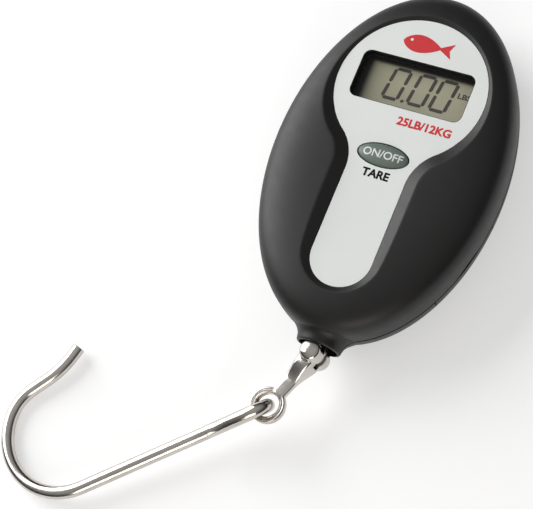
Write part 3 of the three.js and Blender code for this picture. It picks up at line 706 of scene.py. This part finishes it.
def thicken(made, weight):
    """Lays copies of the ink round the first, weight millimetres out, at hair-thin steps in height."""
    mesh = bmesh.new()
    for step in range(8):
        turn = math.pi * step / 4
        copy = made.data.copy()
        offset = Vector((math.cos(turn) * weight, math.sin(turn) * weight, 0.001 * step)) * MM
        copy.transform(Matrix.Translation(offset))
        mesh.from_mesh(copy)
        bpy.data.meshes.remove(copy)
    mesh.to_mesh(made.data)
    mesh.free()


def fish_outline():
    """A plain fish: a pointed oval body with a forked tail, nose to the left."""
    points = []
    for step in range(33):
        part = step / 32
        points.append((-6.2 + 9.6 * part, 2.3 * math.sin(math.pi * part ** 0.8) ** 0.8))
    tail = [(6.2, 2.0), (5.4, 0), (6.2, -2.0)]
    lower = [(x, -y) for x, y in reversed(points[1:-1])]
    upper = points[:-1] + [(3.4, 0.45)]
    return [(x, y + FISH_Y) for x, y in upper + tail + [(3.4, -0.45)] + lower]


def faceplate():
    window = rounded_rectangle(WINDOW_WIDTH, WINDOW_HEIGHT, WINDOW_CORNER, WINDOW_Y)
    low = PLATE_TOP - PLATE_THICKNESS
    return flat_sheet("plate", [plate_outline(), window, button_hole()], low, PLATE_TOP, plate_paint, 0.06)


def lcd_segments():
    """Three slanted seven-segment zeros and a point, as raised ink on the glass."""
    mesh = bmesh.new()
    width, height, thick, slant = 4.6, 8.7, 0.85, 0.13
    half = thick / 2
    point = 0.32
    blunt = 0.12
    corner = 0.6
    waist = 0.22
    centre_y = WINDOW_Y + 0.7

    def bar(outline, left):
        base = [(left + x + slant * y, centre_y + y) for x, y in outline]
        low = [mesh.verts.new((x, y, LCD_TOP)) for x, y in base]
        high = [mesh.verts.new((x, y, LCD_TOP + 0.03)) for x, y in base]
        mesh.faces.new(high)
        mesh.faces.new(low[::-1])
        for i in range(len(base)):
            j = (i + 1) % len(base)
            mesh.faces.new((low[i], low[j], high[j], high[i]))

    def segment(start, end, across, upright, left):
        """A bar with blunt points, from start to end along one axis, centred at across on the other."""
        outline = [(start, -blunt), (start + point, -half), (end - point, -half), (end, -blunt)]
        outline += [(end, blunt), (end - point, half), (start + point, half), (start, blunt)]
        bar([(across + v, u) if upright else (u, across + v) for u, v in outline], left)

    for left in (-6.95, -0.6, 4.9):
        for side in (1, -1):
            segment(corner, width - corner, side * (height / 2 - half), False, left)
            for across in (half, width - half):
                low, high = sorted((side * waist, side * (height / 2 - corner)))
                segment(low, high, across, True, left)
    foot = -height / 2
    bar([(0, foot + 0.5), (0.55, foot), (1.1, foot + 0.5), (0.55, foot + 1)], -1.95)
    return finish_mesh("lcd_digits", mesh, segment_ink)


def button_cap():
    """An oval cap with upright sides and a domed top."""
    rings = [[(0, BUTTON_Y, BUTTON_FOOT)]]

    def oval(share, height):
        return [(x, y, height) for x, y in ellipse(
            BUTTON_HALF_WIDTH * share, BUTTON_HALF_HEIGHT * share, BUTTON_Y)]

    rings.append(oval(1, BUTTON_FOOT))
    rings.append(oval(1, BUTTON_TOP - BUTTON_CROWN - 0.15))
    for step in range(13):
        angle = math.pi / 2 * step / 13
        rings.append(oval(math.cos(angle) ** 0.8, BUTTON_TOP - BUTTON_CROWN * (1 - math.sin(angle))))
    rings.append([(0, BUTTON_Y, BUTTON_TOP)])
    return loft(rings, False, button_rubber, "button_cap")


def button_height(x, y):
    share = min(1, math.hypot(x / BUTTON_HALF_WIDTH, (y - BUTTON_Y) / BUTTON_HALF_HEIGHT))
    cosine = share ** 1.25
    return BUTTON_TOP - BUTTON_CROWN * (1 - math.sqrt(1 - cosine * cosine))


def button_label():
    label = printed("button_label", "ON/OFF", BUTTON_LABEL_SPANS, 0, print_white, MEDIUM)
    mesh = bmesh.new()
    mesh.from_mesh(label.data)
    for _ in range(2):
        bmesh.ops.subdivide_edges(mesh, edges=[e for e in mesh.edges if e.calc_length() > 0.0005], cuts=1)
    bmesh.ops.triangulate(mesh, faces=mesh.faces)
    for v in mesh.verts:
        v.co.z += (button_height(v.co.x / MM, v.co.y / MM) + INK) * MM
    mesh.to_mesh(label.data)
    mesh.free()
    return label


# ---------- swivel, link and hook ----------
SHANK_DROP = FOLD_RADIUS * math.cos(FOLD_LEAN)
SETTLE = math.asin((SEAM - SHANK_DROP - WIRE - FLOOR_GAP) / HOOK_REACH)
SWIVEL = Matrix.Translation((0, 0, SEAM)) @ Matrix.Rotation(-SETTLE, 4, "Y")
LINK = SWIVEL @ Matrix.Translation((0, PIVOT_Y, 0)) @ Matrix.Rotation(-LINK_TILT, 4, "Z")
HOOK = LINK @ Matrix.Translation((0, -LINK_LENGTH, 0)) @ Matrix.Rotation(-math.pi / 2 - HOOK_TURN, 4, "Z")


def ease(part):
    part = min(1, max(0, part))
    return part * part * (3 - 2 * part)


def link_strap():
    """A bar with soft corners that narrows and thins on its way from the barrel to the ring."""
    steps = 40
    wider, wider_run = 0.5, 6.5
    thicker, thicker_from, thicker_run = 2.3, 0.7, 6.8
    rings = []
    for step in range(steps + 1):
        run = (STRAP_END - STRAP_START) * step / steps
        y = -STRAP_START - run
        half_width = STRAP_HALF_WIDTH + wider * (1 - ease(run / wider_run))
        half_thick = STRAP_HALF_THICK + thicker * (1 - ease((run - thicker_from) / thicker_run))
        ring = []
        for turn in (2 * math.pi * i / 48 for i in range(48)):
            c, s = math.cos(turn), math.sin(turn)
            ring.append((
                half_width * math.copysign(abs(c) ** 0.5, c),
                y,
                half_thick * math.copysign(abs(s) ** 0.5, s),
            ))
        rings.append(ring)
    start = [(0, rings[0][0][1], 0)]
    end = [(0, rings[-1][0][1], 0)]
    return loft([start] + rings + [end])


def link_ring():
    """The ring at the link's end, with a groove between its inner lip and its outer edge."""
    face = [(RING_HOLE, 0), (2.82, 0.8), (2.92, 1.04), (3.06, 1.12), (3.2, 1.04), (3.3, 0.82), (3.42, 0.5)]
    face += [(3.54, 0.6), (3.7, 0.9), (3.92, 1.0), (4.16, 0.9), (4.33, 0.6), (RING_RADIUS, 0)]
    return turned(face + [(radius, -height) for radius, height in reversed(face[1:-1])], 96)


def link_bar():
    """The cast link: a domed barrel with a slot for the stud's tongue, a strap and a ring."""
    dome = [(0, -4.7), (1.8, -4.7), (2.1, -4.5), (2.4, -4.2), (2.55, -3.9), (2.6, -3.5), (2.6, 3.2)]
    dome += [(2.58, 3.6), (2.52, 3.95), (2.38, 4.25), (2.14, 4.5), (1.78, 4.72), (1.3, 4.92)]
    dome += [(0.7, 5.06), (0, 5.1)]
    bar = turned(dome, 64, "link_bar", bright_metal)
    cut(bar, link_strap(), "UNION")
    ring_place = Matrix.Translation((0, -LINK_LENGTH, 0))
    cut(bar, moved(link_ring(), ring_place), "UNION")
    cut(bar, moved(prism(circle(RING_HOLE + 0.02), -3, 3), ring_place))
    remesh = bar.modifiers.new("remesh", "REMESH")
    remesh.mode = "VOXEL"
    remesh.voxel_size = 0.1 * MM
    relax = bar.modifiers.new("relax", "SMOOTH")
    relax.factor = 0.5
    relax.iterations = 5
    apply_modifiers(bar)
    cut(bar, block((-6, TONGUE_SLOT_BACK, -TONGUE_SLOT_HALF), (6, 6, TONGUE_SLOT_HALF)))
    cut(bar, prism(circle(PIN_RADIUS + FIT), -6, PIN_TIP + FIT))
    bar.data.materials.clear()
    bar.data.materials.append(bright_metal)
    smooth(bar, 50)
    return moved(bar, LINK)


def pivot_pin():
    """The pin from below: a low domed head under the barrel, and a shank that ends inside it."""
    profile = [(0, -5.4), (0.8, -5.37), (1.3, -5.25), (1.55, -5.1), (1.6, -5.0), (PIN_RADIUS, -4.98)]
    profile += [(PIN_RADIUS, PIN_TIP), (0, PIN_TIP)]
    return moved(turned(profile, 64, "hinge_pin", bright_metal), LINK)


def hook_path():
    """The wire's middle line from the folded leg's cut end, through the ring, down the shank to the tip."""
    points = []

    def raised(x, lift):
        return Vector((x, lift * math.sin(FOLD_LEAN), lift * math.cos(FOLD_LEAN)))

    leg_end = FOLD_GAP - FOLD_RADIUS
    for step in range(24):
        part = step / 24
        lift = leg_end + (FOLD_RADIUS - leg_end) * ease(part)
        points.append(raised(FOLD_LENGTH + (FOLD_RADIUS - FOLD_LENGTH) * part, lift))
    for step in range(33):
        angle = math.radians(90 + 180 * step / 32)
        points.append(raised(FOLD_RADIUS * (1 + math.cos(angle)), FOLD_RADIUS * math.sin(angle)))
    plane = raised(0, -FOLD_RADIUS)
    place = Vector((FOLD_RADIUS, plane.y, plane.z))
    heading = 0.0
    for size, bend in [(SHANK - FOLD_RADIUS, 0)] + HOOK_BENDS:
        steps = 40 if bend else 12
        length = size * abs(math.radians(bend)) if bend else size
        for _ in range(steps):
            heading += math.radians(bend) / steps / 2
            place = place + Vector((math.cos(heading), math.sin(heading), 0)) * length / steps
            heading += math.radians(bend) / steps / 2
            points.append(place.copy())
    return points


def hook_wire():
    """A round wire swept along the path, with slightly rounded cut ends."""
    points = hook_path()
    normal = Vector((0, 0, 1))
    rings = []
    for i, point in enumerate(points):
        along = (points[min(i + 1, len(points) - 1)] - points[max(i - 1, 0)]).normalized()
        normal = (normal - along * normal.dot(along)).normalized()
        side = along.cross(normal)
        radius = WIRE
        rings.append([
            point + (side * math.cos(a) + normal * math.sin(a)) * radius
            for a in (2 * math.pi * k / 40 for k in range(40))
        ])
    first = (points[0] - points[1]).normalized()
    last = (points[-1] - points[-2]).normalized()

    def cap(ring, centre, outward):
        return [[centre + (p - centre) * s + outward * d for p in ring] for s, d in
                ((0.985, 0.1), (0.93, 0.19), (0.85, 0.24))] + [[centre + outward * 0.26]]

    head = cap(rings[0], points[0], first)[::-1]
    tail = cap(rings[-1], points[-1], last)
    return moved(loft(head + rings + tail, False, bright_metal, "hook_wire", 50), HOOK)


# ---------- build ----------
def ready(made, body, slot, *nodes):
    """Puts a piece on its body and hides those CAD nodes, which it stands for; slot is not used."""
    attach(made, body)
    if nodes:
        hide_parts(*nodes)
    return made


ready(front_shell(), "housing", "shell", "front_shell")
ready(rear_shell(), "housing", "shell", "rear_shell")
ready(battery_drawer(), "drawer", "shell", "battery_drawer")
ready(faceplate(), "housing", "faceplate", "faceplate")
lens_width = WINDOW_WIDTH + 2 * LENS_MARGIN
lens_height = WINDOW_HEIGHT + 2 * LENS_MARGIN
lens_outline = rounded_rectangle(lens_width, lens_height, WINDOW_CORNER + 1, WINDOW_Y)
lens = flat_sheet("lens", [lens_outline], LENS_TOP - LENS_THICKNESS, LENS_TOP, lens_clear, 0.05)
ready(lens, "housing", "clear_window", "window_lens")
liner_inner = rounded_rectangle(WINDOW_WIDTH - 0.2, WINDOW_HEIGHT - 0.2, WINDOW_CORNER - 0.1, WINDOW_Y)
liner_outer = rounded_rectangle(WINDOW_WIDTH - 0.02, WINDOW_HEIGHT - 0.02, WINDOW_CORNER, WINDOW_Y)
liner_edges = [liner_outer, liner_inner]
liner = flat_sheet("window_liner", liner_edges, LENS_TOP + 0.02, PLATE_TOP - 0.02, liner_black)
ready(liner, "housing", "dark_plastic")
glass_outline = rounded_rectangle(LCD_WIDTH, LCD_HEIGHT, 0.4, WINDOW_Y)
glass = flat_sheet("lcd_glass", [glass_outline], LCD_TOP - LCD_THICKNESS, LCD_TOP, lcd_green, 0.05)
ready(glass, "housing", "lcd", "lcd_panel")
ready(lcd_segments(), "housing", "lcd")
unit = printed("unit_mark", "LBS", UNIT_SPANS, LCD_TOP + INK, segment_ink, MEDIUM)
ready(unit, "housing", "lcd")
tare = printed("tare_mark", "TARE", TARE_SPANS, PLATE_TOP, print_black, BOLD)
ready(tare, "housing", "faceplate")
capacity = printed("capacity_mark", "25LB/12KG", CAPACITY_SPANS, PLATE_TOP, print_red, BOLD)
ready(capacity, "housing", "faceplate")
fish_edges = [fish_outline(), circle(FISH_EYE_RADIUS, *FISH_EYE, 24)]
fish = flat_sheet("fish_mark", fish_edges, PLATE_TOP - 0.01, PLATE_TOP + 0.04, print_red)
ready(fish, "housing", "faceplate")
ready(button_cap(), "button", "button_rubber", "power_button")
ready(button_label(), "button", "button_rubber")
ready(link_bar(), "link", "bright_metal", "link")
ready(pivot_pin(), "link", "bright_metal", "pivot_pin")
ready(hook_wire(), "hook", "bright_metal", "hook")

CARRIED = {
    "lcd_frame": liner_black,
    "contact_strip_upper": contact_rubber,
    "contact_strip_lower": contact_rubber,
    "main_board": board_green,
    "controller_chip": dark_plastic,
    "crystal_can": cell_metal,
    "switch_base": steel,
    "switch_plunger": dark_plastic,
    "load_cell": cell_metal,
    "strain_gauge_left": gauge_film,
    "strain_gauge_right": gauge_film,
    "gauge_flex": gauge_film,
    "coin_cell": steel,
    "battery_contact_lower": brass,
    "battery_contact_upper": brass,
    "neck_bush": dark_plastic,
    "swivel_stud": steel,
    "thrust_washer": steel,
    "stud_nut": steel,
    "load_cell_screw_left": steel,
    "load_cell_screw_right": steel,
    "housing_screw_1": steel,
    "housing_screw_2": steel,
    "housing_screw_3": steel,
    "housing_screw_4": steel,
}
for node, paint in CARRIED.items():
    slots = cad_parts[node].data.materials
    slots.clear()
    slots.append(paint)


# ---------- floor and light ----------
def add_floor():
    """A pale table, a little greyer far away so that the metal has something darker to reflect."""
    paint = material("floor_white", (0.62, 0.62, 0.62), 0.9, spread=0.01, bump=0, glow=0.47)
    nodes = paint.node_tree.nodes
    links = paint.node_tree.links
    coordinates = nodes.new("ShaderNodeTexCoord")
    reach = nodes.new("ShaderNodeVectorMath")
    reach.operation = "LENGTH"
    fade = nodes.new("ShaderNodeMapRange")
    fade.inputs["From Min"].default_value = 0.2
    fade.inputs["From Max"].default_value = 0.55
    mix = nodes.new("ShaderNodeMix")
    mix.data_type = "RGBA"
    mix.inputs["B"].default_value = (0.03, 0.03, 0.03, 1)
    links.new(coordinates.outputs["Object"], reach.inputs[0])
    links.new(reach.outputs["Value"], fade.inputs["Value"])
    links.new(fade.outputs["Result"], mix.inputs["Factor"])
    colour = nodes["Principled BSDF"].inputs["Base Color"]
    links.new(colour.links[0].from_socket, mix.inputs["A"])
    links.new(mix.outputs["Result"], colour)
    outline = [(-2000, -2000), (2000, -2000), (2000, 2000), (-2000, 2000)]
    prism(outline, -6, -0.02, "floor", paint)


def add_light(name, direction, distance, size, power, colour=(1, 1, 1)):
    """A square softbox in that direction from the part's middle, facing it; metres and watts."""
    data = bpy.data.lights.new(name, "AREA")
    data.energy = power
    data.size = size
    data.color = colour
    lamp = bpy.data.objects.new(name, data)
    middle = Vector((-0.02, -0.02, 0.01))
    away = Vector(direction).normalized()
    lamp.location = middle + away * distance
    lamp.rotation_euler = away.to_track_quat("Z", "Y").to_euler()
    bpy.context.scene.collection.objects.link(lamp)


def add_world(strength, horizon):
    """A sky that is dark up to the horizon's share of its height and grows to white overhead."""
    world = bpy.data.worlds.new("studio")
    bpy.context.scene.world = world
    world.use_nodes = True
    nodes = world.node_tree.nodes
    links = world.node_tree.links
    sky = nodes["Background"]
    sky.inputs["Strength"].default_value = strength
    coordinates = nodes.new("ShaderNodeTexCoord")
    split = nodes.new("ShaderNodeSeparateXYZ")
    ramp = nodes.new("ShaderNodeValToRGB")
    ramp.color_ramp.elements[0].position = horizon
    ramp.color_ramp.elements[0].color = (0.02, 0.02, 0.02, 1)
    ramp.color_ramp.elements[1].position = 1.0
    ramp.color_ramp.elements[1].color = (1, 1, 1, 1)
    links.new(coordinates.outputs["Generated"], split.inputs["Vector"])
    links.new(split.outputs["Z"], ramp.inputs["Fac"])
    links.new(ramp.outputs["Color"], sky.inputs["Color"])


add_floor()
add_world(strength=0.5, horizon=0.28)
add_light("key", (-0.85, 0.22, 0.47), distance=0.9, size=0.8, power=10.5)
add_light("fill", (0.4, -0.9, 0.42), distance=0.8, size=0.4, power=1.8, colour=(1, 0.95, 0.88))
